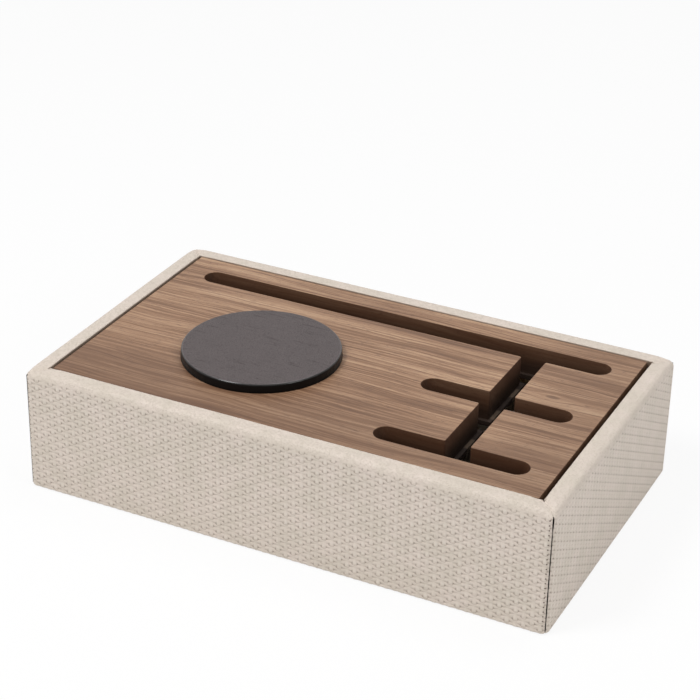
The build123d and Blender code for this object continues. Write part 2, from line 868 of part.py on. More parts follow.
def all_nodes():
    """Every node of the object, by name."""
    hole = grommet_hole_diameter
    back_cut = grommet_cut(hole, inner_y - overrun, half_width + overrun)
    nodes = {
        "base_board": base_board(),
        "front_wall_board": long_wall_board(-1),
        "back_wall_board": long_wall_board(1) - back_cut,
        "left_wall_board": short_wall_board(-1),
        "right_wall_board": short_wall_board(1),
        "wall_dowels": group([rod(start, end, dowel_diameter) for start, end in dowel_lines()]),
        "corner_stitching": corner_stitching(),
        "front_wall_lining": long_lining(-1),
        "back_wall_lining": long_lining(1) - back_cut,
        "left_wall_lining": short_lining(-1),
        "right_wall_lining": short_lining(1),
        "floor_lining": floor_lining(),
        "underside_felt": underside_felt(),
        "cable_grommet": cable_grommet(),
        "walnut_lid": walnut_lid(),
        "lid_slot_floor": lid_slot_floor(),
        "lid_screws": group(lid_screws(0)),
        "pad_adhesive_ring": pad_tape(),
        "pad_base": pad_base(),
        "pad_top_plate": pad_top_plate(),
        "pad_leather_cover": pad_leather_cover(),
        "pad_ferrite_disc": pad_ferrite(),
        "pad_charging_coil": pad_coil(),
        "pad_circuit_board": pad_circuit_board(),
        "pad_lead_gland": pad_lead_gland(),
        "pad_housing_screws": group(pad_screws(0)),
        "charger_lower_case": charger_lower_case(),
        "charger_upper_case": charger_upper_case(),
        "charger_circuit_board": charger_circuit_board(),
        "charger_sockets": charger_sockets(),
        "charger_socket_tongues": charger_socket_tongues(),
        "charger_mains_inlet": charger_mains_inlet(),
        "charger_inlet_pins": charger_inlet_pins(),
        "charger_transformer": charger_transformer(),
        "charger_capacitors": charger_capacitors(),
        "charger_case_screws": group(charger_screws(0)),
        "charger_fixing_strips": charger_strips(),
    }
    nodes.update(leather_wraps())
    nodes.update(lid_rails())
    return nodes


os.makedirs("parts", exist_ok=True)
for node_name, node_shape in all_nodes().items():
    save(node_name, node_shape)
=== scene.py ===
import json
import math

import bmesh
import bpy
import numpy as np
from mathutils import Matrix, Vector


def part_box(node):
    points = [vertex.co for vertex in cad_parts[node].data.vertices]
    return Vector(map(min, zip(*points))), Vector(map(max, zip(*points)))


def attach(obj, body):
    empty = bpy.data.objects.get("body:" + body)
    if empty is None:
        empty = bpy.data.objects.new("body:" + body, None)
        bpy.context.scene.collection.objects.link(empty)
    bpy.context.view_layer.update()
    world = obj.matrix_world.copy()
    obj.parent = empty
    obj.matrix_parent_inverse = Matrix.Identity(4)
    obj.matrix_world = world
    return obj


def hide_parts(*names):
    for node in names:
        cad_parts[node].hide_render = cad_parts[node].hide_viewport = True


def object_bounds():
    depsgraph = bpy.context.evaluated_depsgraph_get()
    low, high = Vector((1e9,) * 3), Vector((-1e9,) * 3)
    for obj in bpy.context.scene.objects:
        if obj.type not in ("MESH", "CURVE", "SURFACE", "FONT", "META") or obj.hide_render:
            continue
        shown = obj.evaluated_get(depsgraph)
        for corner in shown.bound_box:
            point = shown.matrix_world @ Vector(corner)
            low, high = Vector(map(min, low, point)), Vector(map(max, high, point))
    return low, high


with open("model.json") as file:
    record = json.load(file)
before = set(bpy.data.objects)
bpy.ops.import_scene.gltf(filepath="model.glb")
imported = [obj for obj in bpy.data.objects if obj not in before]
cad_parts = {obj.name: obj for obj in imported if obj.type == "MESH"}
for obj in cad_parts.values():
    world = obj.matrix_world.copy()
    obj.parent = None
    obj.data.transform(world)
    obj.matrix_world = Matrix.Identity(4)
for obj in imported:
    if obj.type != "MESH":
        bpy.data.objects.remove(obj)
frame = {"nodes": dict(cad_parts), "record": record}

cad_bounds = [list(corner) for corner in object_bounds()]

mm = 0.001

# Sizes and places taken from the frame
half_length = cad_bounds[1][0]
half_width = cad_bounds[1][1]
box_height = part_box("front_leather_wrap")[1].z
wall_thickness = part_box("front_leather_wrap")[1].y + half_width
lip_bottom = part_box("front_wall_lining")[1].z
felt_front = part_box("underside_felt")[0].y
lid_low, lid_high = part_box("walnut_lid")
pad_low, pad_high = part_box("pad_leather_cover")
pad_x, pad_y = (pad_low.x + pad_high.x) / 2, (pad_low.y + pad_high.y) / 2
pad_radius = (pad_high.x - pad_low.x) / 2

# Leather on the walls
corner_radius = 4.6 * mm
rim_outer_radius = 4.4 * mm
face_top = box_height - rim_outer_radius
rim_inner_radius = 0.9 * mm
bottom_radius = 1.6 * mm
felt_gap = 0.3 * mm
turn_under = felt_front + half_width - felt_gap
leather_thickness = 1.0 * mm
rim_back = 3.0 * mm
relief_height = 0.5 * mm
hidden_relief = 0.3
cells_per_strand = 8
cells_per_row = 4
under_cell = 3.0 * mm
lip_cell = 4.0 * mm
bottom_steps, rim_steps, lip_steps = 4, 9, 5
seam_band = 6.0 * mm
seam_cell = 0.3 * mm
weld_distance = 0.0001 * mm
lead_hole_clearance, lead_hole_border = 0.15 * mm, 2 * mm

# Where the lip begins along the sheet. A rounding is longer than its radius by the excess.
arc_excess = 0.57
lip_start = face_top + rim_outer_radius * arc_excess + wall_thickness - rim_inner_radius
# Where the painted shade on the lip, in the gap below the rim's inner edge, begins and is full
lip_shade_from, lip_shade_to = lip_start + 0.5 * mm, lip_start + 1.8 * mm

# The leather's unevenness and its creases at the mitres
swell_height = 0.08 * mm
swell_lengths = (23 * mm, 17 * mm, 61 * mm)
seam_dip, seam_dip_width = 0.3 * mm, 0.45 * mm
fold_dip, fold_dip_width, fold_from_seam = 0.24 * mm, 0.28 * mm, 1.9 * mm
corner_droop, corner_droop_width = 1.2 * mm, 5 * mm
plain_seam_width = 2.6 * mm

# The weave. Places and half sizes, of a bump and of the spots of painted shadow beside its lower end, are
# parts of a column and of a row.
strand_pitch = 5.1 * mm
row_pitch = 2.85 * mm
strand_share = 0.29
strand_reach = 0.78
bump_fullness, bump_height, bump_lean = 0.45, 0.88, 0.12
row_fullness, row_height = 0.6, 0.8
spot_half_width, spot_half_length = 0.25, 0.3
left_spot, right_spot = (-0.33, -0.54), (0.33, -0.34)
crescent_width, crescent_drop = 0.8, 0.18
spot_share, crescent_share = 0.55, 0.6
weave_fades_from, weave_fades_to = face_top - 1.6 * mm, face_top + 2.4 * mm
weave_faded = 0.84

# Corner seams
stitch_from_seam = 2.0 * mm
stitch_pitch = 3.2 * mm
stitch_length = 2.3 * mm
stitch_width = 0.62 * mm
stitch_proud = 0.16 * mm
stitch_bluntness = 0.7
stitch_margin = 4.5 * mm
edge_paint_width = 0.68 * mm
edge_paint_top_width = 1.5 * mm
edge_paint_depth = 0.45 * mm
edge_paint_proud = 0.12 * mm
edge_paint_top = box_height - rim_outer_radius * 0.75
edge_paint_cuts = 48
edge_paint_widens_at, edge_paint_widens_over = 0.86, 0.1
edge_paint_top_end, edge_paint_bottom_end = (0.025, 0.15), (0.02, 0.3)
notch_depth, notch_length, notch_wander = 0.55, 3.1 * mm, 9 * mm

# Stitch holes: the heights in millimetres where they begin and end, and their outer and inner radius
holes_from, holes_to = (3.5, 4.5), (78.0, 77.0)
hole_radii = (0.5 * mm, 0.3 * mm)

# Charging pad's leather, with the widths of the rings on its top in millimetres
pad_skin = 1.3 * mm
pad_edge = 1.6 * mm
pad_rings = (0.8, 1.6, 2.0, 3.0, 5.0, 7.0, 8.0, 8.0)
pad_crown, pad_crown_edge = 0.25 * mm, 3 * mm
pad_rim_dip, pad_rim_from_edge, pad_rim_width = 0.05 * mm, 2.5 * mm, 2.8 * mm
pad_pucker, pad_swell = 0.07 * mm, 0.06 * mm
pucker_folds, pucker_drift, pucker_groups = 43, 5, 17

# Softened edges of the walnut and of the wall boards
lid_edge = 1.1 * mm
board_corner = 3.4 * mm
core_gap = 0.02 * mm
core_overrun = 10 * mm

# Walnut, in millimetres: its knot, and where it darkens towards the front and the right
knot_place, knot_size = (124.6, 20.3), (12, 5)
dark_front, dark_right = (-34.0, -74.0), (96.0, 128.0)

# Cloth and felt panels, and what each is glued to
cloth_panels = {
    "front_wall_lining": "front_wall_board",
    "back_wall_lining": "back_wall_board",
    "left_wall_lining": "left_wall_board",
    "right_wall_lining": "right_wall_board",
    "floor_lining": "base_board",
    "underside_felt": "base_board",
    "charger_fixing_strips": None,
}
cloth_edge = 0.35 * mm
cloth_cell = 7.0 * mm
cloth_lie = 0.12 * mm
lie_lengths = (13 * mm, 9 * mm, 31 * mm)
skin_weld = 0.005 * mm

# Where painted light makes the slot floor pale at the foot of the cross slot, along Y in millimetres
lit_lengths = (84.0, 48.0, 17.0, -23.0)
lit_fades_from, lit_fades_to = 4.0, 7.0

# Turns of the coil's wire and of the transformer's tape, in millimetres
wire_pitch, tape_pitch = 1.1, 4.6

# Light and floor
ambient_light = 0.4
lamp_target = (0, 0, 0.05)
floor_drop = 0.4 * mm
floor_shade, floor_glow = 0.86, 0.88

# Camera, from the photograph's vanishing points
camera_place = Vector((490.2, -1019.6, 688.1)) * mm
camera_azimuth = math.radians(25.8)
camera_elevation = math.radians(27.8)
camera_roll = math.radians(1.2)
camera_lens = 106.2


class Socket:
    """A node's output; sums with it add Math nodes."""

    def __init__(self, tree, output):
        self.tree = tree
        self.output = output

    def math(self, operation, *values):
        return self.tree.node("ShaderNodeMath", {"operation": operation}, dict(enumerate(values)))

    def __add__(self, other):
        return self.math("ADD", self, other)

    def __radd__(self, other):
        return self.math("ADD", other, self)

    def __sub__(self, other):
        return self.math("SUBTRACT", self, other)

    def __rsub__(self, other):
        return self.math("SUBTRACT", other, self)

    def __mul__(self, other):
        return self.math("MULTIPLY", self, other)

    def __rmul__(self, other):
        return self.math("MULTIPLY", other, self)

    def __truediv__(self, other):
        return self.math("DIVIDE", self, other)

    def __pow__(self, other):
        return self.math("POWER", self, other)


def paint(colour):
    """A colour in 0 to 255 as Blender's linear colour. A socket stays as it is."""
    if isinstance(colour, Socket):
        return colour
    shares = [part / 255 for part in colour]
    curved = [((share + 0.055) / 1.055) ** 2.4 if share > 0.04 else share / 12.92 for share in shares]
    return (*curved, 1)


class Tree:
    """A node tree in the making."""

    def __init__(self, node_tree):
        self.tree = node_tree

    def node(self, kind, settings=None, inputs=None, output=0):
        """Adds a node with its settings, then the values or links of its inputs."""
        node = self.tree.nodes.new(kind)
        settings = dict(settings or {})
        stops = settings.pop("stops", None)
        for name, value in settings.items():
            setattr(node, name, value)
        for number, (place, colour) in enumerate(stops or ()):
            elements = node.color_ramp.elements
            stop = elements[number] if number < len(elements) else elements.new(place)
            stop.position = place
            stop.color = colour
        for key, value in (inputs or {}).items():
            self.feed(node.inputs[key], value)
        return Socket(self, node.outputs[output])

    def feed(self, place, value):
        """Links a socket to an input, or sets the input's value."""
        if isinstance(value, Socket):
            self.tree.links.new(value.output, place)
        else:
            place.default_value = value


class Finish(Tree):
    """A material built round one Principled shader."""

    def __init__(self, name, **constants):
        self.material = bpy.data.materials.new(name)
        self.material.use_nodes = True
        super().__init__(self.material.node_tree)
        self.shader = self.tree.nodes["Principled BSDF"]
        for socket, value in constants.items():
            self.shader.inputs[socket.replace("_", " ")].default_value = value

    def set(self, socket, value):
        self.feed(self.shader.inputs[socket], value)

    def split(self, vector):
        """The three parts of a vector."""
        node = self.tree.nodes.new("ShaderNodeSeparateXYZ")
        self.feed(node.inputs[0], vector)
        return [Socket(self, part) for part in node.outputs]

    def join(self, x, y, z):
        return self.node("ShaderNodeCombineXYZ", None, {0: x, 1: y, 2: z})

    def place(self):
        """X, Y and Z on the object, in millimetres."""
        return [part * (1 / mm) for part in self.split(self.node("ShaderNodeTexCoord", output="Object"))]

    def noise(self, x, y, z, scale=1.0, detail=2.0, roughness=0.5, distortion=0.0):
        inputs = {"Vector": self.join(x, y, z), "Scale": scale, "Detail": detail}
        inputs |= {"Roughness": roughness, "Distortion": distortion}
        return self.node("ShaderNodeTexNoise", None, inputs)

    def cell_edges(self, x, y, z, scale, randomness=1.0):
        """How far a place is from the nearest edge between cells."""
        inputs = {"Vector": self.join(x, y, z), "Scale": scale, "Randomness": randomness}
        return self.node("ShaderNodeTexVoronoi", {"feature": "DISTANCE_TO_EDGE"}, inputs)

    def facing(self):
        """X, Y and Z of the direction that the surface faces."""
        return self.split(self.node("ShaderNodeTexCoord", output="Normal"))

    def step(self, value, start, end):
        """0 below start and 1 above end, with a soft way between."""
        inputs = {"Value": value, "From Min": start, "From Max": end}
        return self.node("ShaderNodeMapRange", {"interpolation_type": "SMOOTHSTEP"}, inputs)

    def mix(self, first, second, share):
        """Two colours mixed: the first at a share of 0, the second at 1."""
        inputs = {0: share, 6: paint(first), 7: paint(second)}
        return self.node("ShaderNodeMix", {"data_type": "RGBA"}, inputs, output=2)

    def ramp(self, value, *stops):
        stops = [(place, paint(colour)) for place, colour in stops]
        return self.node("ShaderNodeValToRGB", {"stops": stops}, {0: value})

    def done(self, colour, roughness, height, depth, strength):
        """Sets the colour, the roughness and a relief of 0 to 1 over a depth, and gives the material."""
        self.set("Base Color", colour)
        self.set("Roughness", roughness)
        inputs = {"Height": height, "Distance": depth, "Strength": strength}
        self.set("Normal", self.node("ShaderNodeBump", None, inputs))
        return self.material


# Sums that work on arrays of numbers and on sockets alike


def floor(value):
    return value.math("FLOOR", value) if isinstance(value, Socket) else np.floor(value)


def cosine(value):
    return value.math("COSINE", value) if isinstance(value, Socket) else np.cos(value)


def larger(value, other):
    return value.math("MAXIMUM", value, other) if isinstance(value, Socket) else np.maximum(value, other)


def smaller(value, other):
    return value.math("MINIMUM", value, other) if isinstance(value, Socket) else np.minimum(value, other)


def fade(value, begin, end):
    """0 up to begin and 1 from end on, with a soft way between."""
    share = larger(smaller((value - begin) / (end - begin), 1.0), 0.0)
    return share * share * (3 - 2 * share)


def strand(across, along):
    """More than 0 inside the outline of an upright strand's bump, in parts of a column and a row."""
    from_column = (across / strand_share) ** 2
    ends = (along / strand_reach) ** 2
    return 1 - from_column * from_column - ends * ends


def spot(from_column, from_crossing, place):
    """1 in the middle of a spot of painted shadow beside a bump's lower end, and 0 from its outline on.
    """
    sideways = (from_column - place[0]) / spot_half_width
    lengthways = (from_crossing - place[1]) / spot_half_length
    return fade(1 - sideways**2 - lengthways**2, 0.0, 1.0)


def past_face(along):
    """0 on the face, where the weave shows in full, and 1 from the rim's rounding on."""
    return fade(along, weave_fades_from, weave_fades_to)


def weave(across, along):
    """The pressed plain weave at a place on the sheet.

    Gives its height, from 0 to 1, and how dark the painted shade is beside and below an upright strand's
    bump.
    """
    column = across / strand_pitch
    row = along / row_pitch
    column_number = floor(column)
    from_column = column - column_number - 0.5
    turns = (row - 0.5 + column_number) / 2
    from_crossing = (turns - floor(turns + 0.5)) * 2
    inside = strand(from_column, from_crossing)
    upright = larger(inside, 0.0) ** bump_fullness * (bump_height - bump_lean * from_crossing)
    from_row = (row - floor(row) - 0.5) / 0.5
    level = larger(1 - from_row * from_row, 0.0) ** row_fullness
    # The painted shade stops at the bump's outline, where inside is 0. The crescent of painted shadow is
    # the bump lowered.
    spots = spot(from_column, from_crossing, left_spot) + spot(from_column, from_crossing, right_spot)
    spots = spots * (1 - fade(inside, -0.3, 0.3))
    lowered = strand(from_column * crescent_width, from_crossing + crescent_drop)
    crescent = fade(lowered, 0.0, 0.45)
    crescent = crescent * fade(from_crossing, 0.4, -0.3) * (1 - fade(inside, -0.1, 0.2))
    shade = smaller(spot_share * spots + crescent_share * crescent, 1.0)
    shown = 1 - weave_faded * past_face(along)
    return larger(upright, row_height * level) * shown, shade * shown


# Making pieces


def start(name, add, **settings):
    """Adds a primitive as the only selected object."""
    bpy.ops.object.select_all(action="DESELECT")
    add(**settings)
    piece = bpy.context.active_object
    piece.name = piece.data.name = name
    return piece


def only(piece):
    """Makes a piece the only selected one."""
    bpy.ops.object.select_all(action="DESELECT")
    piece.select_set(True)
    bpy.context.view_layer.objects.active = piece


def points_of(piece):
    points = np.empty(len(piece.data.vertices) * 3)
    piece.data.vertices.foreach_get("co", points)
    return points.reshape(-1, 3)


def put_points(piece, points):
    piece.data.vertices.foreach_set("co", points.astype(np.float32).ravel())
    piece.data.update()


def apply_modifiers(piece):
    only(piece)
    for modifier in list(piece.modifiers):
        bpy.ops.object.modifier_apply(modifier=modifier.name)


def begin_edit(piece, kind="FACE", chosen=None):
    """Goes to edit mode with all of a piece selected, or only the faces or edges that pass a test."""
    only(piece)
    bpy.ops.object.mode_set(mode="EDIT")
    if not chosen:
        bpy.ops.mesh.select_all(action="SELECT")
        return
    bpy.ops.mesh.select_mode(type=kind)
    bpy.ops.mesh.select_all(action="DESELECT")
    bpy.ops.object.mode_set(mode="OBJECT")
    for part in piece.data.polygons if kind == "FACE" else piece.data.edges:
        part.select = chosen(part)
    bpy.ops.object.mode_set(mode="EDIT")


def end_edit():
    bpy.ops.object.mode_set(mode="OBJECT")


def face_out(piece, fill=False):
    """Turns a piece's faces outwards, with its holes filled first if asked."""
    begin_edit(piece)
    if fill:
        bpy.ops.mesh.fill_holes(sides=0)
    bpy.ops.mesh.normals_make_consistent(inside=False)
    end_edit()


def smooth(piece, degrees):
    only(piece)
    bpy.ops.object.shade_smooth_by_angle(angle=math.radians(degrees))


def dress(piece, material, slot, body, *nodes):
    """Gives a finished piece its material and its body, and hides the nodes that it stands for."""
    piece.data.materials.clear()
    piece.data.materials.append(material)
    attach(piece, body)
    if nodes:
        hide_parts(*nodes)


# Leather wraps


def bend(centre, radius, first, last, steps, relief):
    """Rows round a rounded edge, between two directions in degrees: 0 faces out, 90 faces up."""
    rows = []
    for angle in np.radians(np.linspace(first, last, steps + 1)[1:]):
        depth = centre[0] - radius * math.cos(angle)
        height = centre[1] + radius * math.sin(angle)
        rows.append((depth, height, math.cos(angle), math.sin(angle), relief))
    return rows


def straight(begin, end, facing, step, relief):
    """Rows along a flat stretch."""
    begin, end = np.array(begin), np.array(end)
    count = max(1, round(np.linalg.norm(end - begin) / step))
    places = [begin + (end - begin) * number / count for number in range(1, count + 1)]
    return [(*place, *facing, relief) for place in places]


def wall_rows():
    """The sheet's rows, from the turned-under edge up the face, over the rim, down the lip and back.

    Each row has its depth into the wall, height, outward and upward direction, share of the relief and
    place along the sheet, which is the height on the face.
    """
    cell = row_pitch / cells_per_row
    inner_edge = wall_thickness - rim_inner_radius
    lip_top = box_height - rim_inner_radius
    rows = [(turn_under, 0, 0, -1, hidden_relief)]
    rows += straight((turn_under, 0), (bottom_radius, 0), (0, -1), under_cell, hidden_relief)
    rows += bend((bottom_radius, bottom_radius), bottom_radius, -90, 0, bottom_steps, 1.0)
    rows += straight((0, bottom_radius), (0, face_top), (1, 0), cell, 1.0)
    rows += bend((rim_outer_radius, face_top), rim_outer_radius, 0, 90, rim_steps, 1.0)
    rows += straight((rim_outer_radius, box_height), (inner_edge, box_height), (0, 1), cell, 1.0)
    rows += bend((inner_edge, lip_top), rim_inner_radius, 90, 180, lip_steps, 1.0)
    lip = (wall_thickness, lip_top), (wall_thickness, lip_bottom)
    rows += straight(*lip, (-1, 0), lip_cell, hidden_relief)
    back = leather_thickness
    rows += [(depth, height, 0, 0, 0) for depth, height in (
        (wall_thickness - back, lip_bottom),
        (wall_thickness - back, box_height - rim_back),
        (rim_outer_radius, box_height - rim_back),
        (back, face_top - rim_back),
        (back, bottom_radius),
        (bottom_radius, back),
        (turn_under, back),
        (turn_under, 0),
    )]
    rows = np.array(rows)
    steps = np.hypot(*np.diff(rows[:, :2], axis=0).T)
    along = np.concatenate(([0], np.cumsum(steps)))
    face = np.argmax(rows[:, 2])
    along += rows[face, 1] - along[face]
    return np.column_stack((rows, along))


def wall_columns(reach):
    """The sheet's columns as shares of its reach, closer together beside the mitres."""
    seam = seam_band / reach
    fine = np.linspace(0, seam, round(seam_band / seam_cell) + 1)
    count = round((reach - seam_band) * 2 / strand_pitch * cells_per_strand)
    middle = np.linspace(seam - 1, 1 - seam, count + 1)[1:-1]
    return np.concatenate((fine - 1, middle, 1 - fine[::-1]))


def reach_at(depth, half_span):
    """Half the length of the wall's path at a depth, up to the mitre."""
    rounded = np.maximum(corner_radius - depth, 0)
    return half_span - np.maximum(corner_radius, depth) + rounded * math.pi / 4


def wall_points(across, depth, height, outward, upward, half_span, half_depth):
    """Places and directions of points on the front wall's path, round its corners to the mitres."""
    rounded = np.maximum(corner_radius - depth, 0)
    flat = half_span - np.maximum(corner_radius, depth)
    over = np.maximum(np.abs(across) - flat, 0)
    angle = np.where(rounded > 0, over / np.maximum(rounded, 1e-9), 0)
    side = np.sign(across)
    x = side * (np.minimum(np.abs(across), flat) + rounded * np.sin(angle))
    y = depth + rounded * (1 - np.cos(angle)) - half_depth
    facing = np.column_stack((outward * side * np.sin(angle), -outward * np.cos(angle), upward))
    return np.column_stack((x, y, height)), facing


def turned(points, quarter_turns):
    """Points turned about Z."""
    c, s = round(math.cos(quarter_turns * math.pi / 2)), round(math.sin(quarter_turns * math.pi / 2))
    x, y, z = points.T
    return np.column_stack((c * x - s * y, s * x + c * y, z))


def hill(distance, width):
    """1 at no distance, falling off smoothly over a width."""
    return np.exp(-((distance / width) ** 2))


def sheet_relief(across, along, seam, relief, upward):
    """How far each point of the sheet stands out: the weave, a soft swell, creases at the mitres."""
    pressed = (weave(across, along)[0] - 0.5) * relief_height * relief
    first, second, slant = swell_lengths
    swell = np.sin(across / first) * np.sin(along / second + across / slant)
    on_rim = np.maximum(upward, 0)
    dips = hill(seam, seam_dip_width) * seam_dip
    dips = dips + hill(seam - fold_from_seam, fold_dip_width) * on_rim * fold_dip
    dips = dips + hill(seam, corner_droop_width) * on_rim * corner_droop
    return pressed * (1 - hill(seam, plain_seam_width)) + swell * swell_height - dips


def leather_wrap(side, quarter_turns, half_span, half_depth, material):
    """One wall's leather: a flat sheet folded round the wall, closed behind, pressed with the weave."""
    rows = wall_rows()
    columns = wall_columns(reach_at(0, half_span))
    sheet = start(
        side + "_leather", bpy.ops.mesh.primitive_grid_add,
        x_subdivisions=len(columns) - 1, y_subdivisions=len(rows) - 1, size=2,
    )
    flat = points_of(sheet)
    column = np.rint((flat[:, 0] + 1) / 2 * (len(columns) - 1)).astype(int)
    row = np.rint((flat[:, 1] + 1) / 2 * (len(rows) - 1)).astype(int)
    depth, height, outward, upward, relief, along = rows[row].T
    reach = reach_at(depth, half_span)
    across = columns[column] * reach
    seam = reach - np.abs(across)
    points, facing = wall_points(across, depth, height, outward, upward, half_span, half_depth)
    points += facing * sheet_relief(across, along, seam, relief, upward)[:, None]
    put_points(sheet, turned(points, quarter_turns))
    place = sheet.data.attributes.new("sheet_place", "FLOAT_VECTOR", "POINT")
    place.data.foreach_set("vector", np.column_stack((across, along, seam)).astype(np.float32).ravel())
    begin_edit(sheet)
    bpy.ops.mesh.remove_doubles(threshold=weld_distance)
    end_edit()
    face_out(sheet, fill=True)
    if side == "back":
        cut_lead_hole(sheet, half_span)
    smooth(sheet, 60)
    dress(sheet, material, "embossed_leather", "box", side + "_leather_wrap")


def cut_lead_hole(sheet, half_span):
    """Opens the back leather round the grommet's flange."""
    low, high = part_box("cable_grommet")
    centre = (low + high) / 2
    radius = (high.x - low.x) / 2 + lead_hole_clearance
    drill = start(
        "drill", bpy.ops.mesh.primitive_cylinder_add, vertices=96, radius=radius, depth=8 * mm,
        location=(centre.x, half_width, centre.z), rotation=(math.pi / 2, 0, 0),
    )
    hole = sheet.modifiers.new("lead_hole", "BOOLEAN")
    hole.operation = "DIFFERENCE"
    hole.solver = "EXACT"
    hole.object = drill
    apply_modifiers(sheet)
    face_out(sheet, fill=True)
    bpy.data.objects.remove(drill)
    place = sheet.data.attributes["sheet_place"].data
    for number, (x, _, z) in enumerate(points_of(sheet)):
        if math.hypot(x - centre.x, z - centre.z) < radius + lead_hole_border:
            place[number].vector = (-x, z, half_span - abs(x))


def stitch_hole(finish, along, seam, z):
    """1 in the middle of a stitch hole and 0 outside it, on the front and back faces only."""
    from_stitch = (along - stitch_margin) / stitch_pitch
    from_stitch = (from_stitch - floor(from_stitch) - 0.5) * stitch_pitch
    from_line = seam - stitch_from_seam
    distance = (from_stitch * from_stitch + from_line * from_line) ** 0.5
    facing = finish.facing()[1]
    stitched = finish.step(z, *holes_from) * finish.step(z, *holes_to)
    return finish.step(distance, *hole_radii) * stitched * finish.step(facing * facing, 0.3, 0.5)


def cream_leather():
    """Cream leather: painted shade in the weave's hollows, beside its bumps, on the lip and in the seams'
    holes, painted highlights on crests, pebbled on the rim.
    """
    finish = Finish("cream_leather", Specular_IOR_Level=0.35)
    place = finish.node("ShaderNodeAttribute", {"attribute_name": "sheet_place"}, output="Vector")
    across, along, seam = finish.split(place)
    x, y, z = finish.place()
    pressed, shade = weave(across, along)
    on_rim = past_face(along)
    hollow = finish.step(pressed, 0.5, 0.05)
    tone = finish.step(finish.noise(x, y, z, scale=0.07, detail=4.0), 0.3, 0.7)
    # Patches in which the weave's painted shade and painted highlight are stronger
    wear_and_painted_light = finish.step(finish.noise(x, y, z, scale=0.3, detail=2.0), 0.3, 0.65)
    grain = finish.noise(x, y, z, scale=1.6, detail=4.0, roughness=0.6)
    colour = finish.mix((208, 197, 184), (216, 203, 192), tone)
    # Painted shade in the weave's hollows, faded out over the rim
    colour = finish.mix(colour, (186, 172, 158), hollow * 0.5 * (1 - on_rim))
    # Painted shadow beside and below the bumps, stronger in patches
    colour = finish.mix(colour, (126, 108, 93), shade * (0.46 + 0.36 * wear_and_painted_light))
    # Painted highlight on the bumps' crests, in patches
    colour = finish.mix(colour, (230, 221, 210), finish.step(pressed, 0.72, 0.95) * wear_and_painted_light * 0.5)
    colour = finish.mix(colour, (206, 194, 180), finish.step(grain, 0.5, 0.75) * 0.35)
    pebble = finish.step(finish.noise(x, y, z, scale=0.85, detail=2.0, roughness=0.6), 0.5, 0.62)
    colour = finish.mix(colour, (196, 184, 169), on_rim * pebble * 0.4)
    # Painted shade on the lip below the rim, where the gap to the lid is in shadow
    colour = finish.mix(colour, (140, 122, 107), fade(along, lip_shade_from, lip_shade_to))
    hole = stitch_hole(finish, along, seam, z)
    # Painted shade in the stitch holes
    colour = finish.mix(colour, (92, 76, 64), hole)
    height = pressed + 0.2 * grain - 0.9 * hole - 0.35 * pebble * on_rim
    return finish.done(colour, 0.46 + 0.16 * grain, height, 0.46 * mm, 0.9)


# Corner seams


def edge_paint_strip(side_x, side_y):
    """One corner's painted edge: a thin strip, wider under the rim, with notches and drawn-in ends."""
    low, high = bottom_radius, edge_paint_top
    strip = start(
        "edge_paint", bpy.ops.mesh.primitive_cylinder_add,
        vertices=12, radius=1, depth=high - low, location=(0, 0, (high + low) / 2),
    )
    bpy.ops.object.transform_apply(location=True, rotation=True, scale=True)

    def upright(edge):
        first, second = (strip.data.vertices[vertex].co.z for vertex in edge.vertices)
        return abs(first - second) > mm

    begin_edit(strip, "EDGE", upright)
    bpy.ops.mesh.subdivide(number_cuts=edge_paint_cuts)
    end_edit()
    points = points_of(strip)
    height = points[:, 2]
    share = (height - low) / (high - low)
    under_rim = np.clip((share - edge_paint_widens_at) / edge_paint_widens_over, 0, 1)
    width = edge_paint_width + (edge_paint_top_width - edge_paint_width) * under_rim
    for from_end, (reach, tip) in ((1 - share, edge_paint_top_end), (share, edge_paint_bottom_end)):
        width *= np.clip(from_end / reach, tip, 1)
    notches = np.sin(height / notch_length + 2 * np.sin(height / notch_wander + side_x)) ** 12
    width *= 1 - notch_depth * notches
    diagonal = corner_radius - edge_paint_depth + edge_paint_proud
    slant = math.cos(math.pi / 4)
    out = (diagonal + points[:, 1] * edge_paint_depth) * slant
    shift = points[:, 0] * width / 2 * slant
    east = half_length - corner_radius + out - shift
    north = half_width - corner_radius + out + shift
    put_points(strip, np.column_stack((side_x * east, side_y * north, height)))
    face_out(strip)
    return strip


def corner_edge_paint(material):
    """The painted raw edges that show as a dark line down each upright corner."""
    strips = [edge_paint_strip(side_x, side_y) for side_x in (-1, 1) for side_y in (-1, 1)]
    piece = joined("corner_edge_paint", strips)
    smooth(piece, 50)
    dress(piece, material, "thread", "box")


def joined(name, pieces):
    """Several objects made one piece."""
    only(pieces[0])
    for piece in pieces:
        piece.select_set(True)
    bpy.ops.object.join()
    piece = bpy.context.active_object
    piece.name = piece.data.name = name
    return piece


def corner_stitches(material):
    """The thread between the stitch holes, on the front and back faces beside the upright corners."""
    model = start("stitch", bpy.ops.mesh.primitive_uv_sphere_add, segments=10, ring_count=8, radius=1)
    shape = points_of(model)
    shape[:, 2] = np.sign(shape[:, 2]) * np.abs(shape[:, 2]) ** stitch_bluntness
    shape *= (stitch_width / 2, stitch_proud, stitch_length / 2)
    from_middle = reach_at(0, half_length) - stitch_from_seam
    count = int((box_height - 2 * stitch_margin) / stitch_pitch)
    stitches = []
    for side in (-1, 1):
        for quarter_turns in (0, 2):
            for number in range(count):
                height = stitch_margin + number * stitch_pitch
                row = np.array([[side * from_middle], [0], [height], [1], [0]])
                place, facing = wall_points(*row, half_length, half_width)
                out = facing[0]
                along_wall = np.array((-out[1], out[0], 0))
                points = place[0] + shape[:, :1] * along_wall + shape[:, 1:2] * out
                points[:, 2] += shape[:, 2]
                stitch = model.copy()
                stitch.data = model.data.copy()
                bpy.context.collection.objects.link(stitch)
                put_points(stitch, turned(points, quarter_turns))
                stitches.append(stitch)
    bpy.data.objects.remove(model)
    piece = joined("corner_stitches", stitches)
    face_out(piece)
    smooth(piece, 60)
    dress(piece, material, "thread", "box", "corner_stitching")


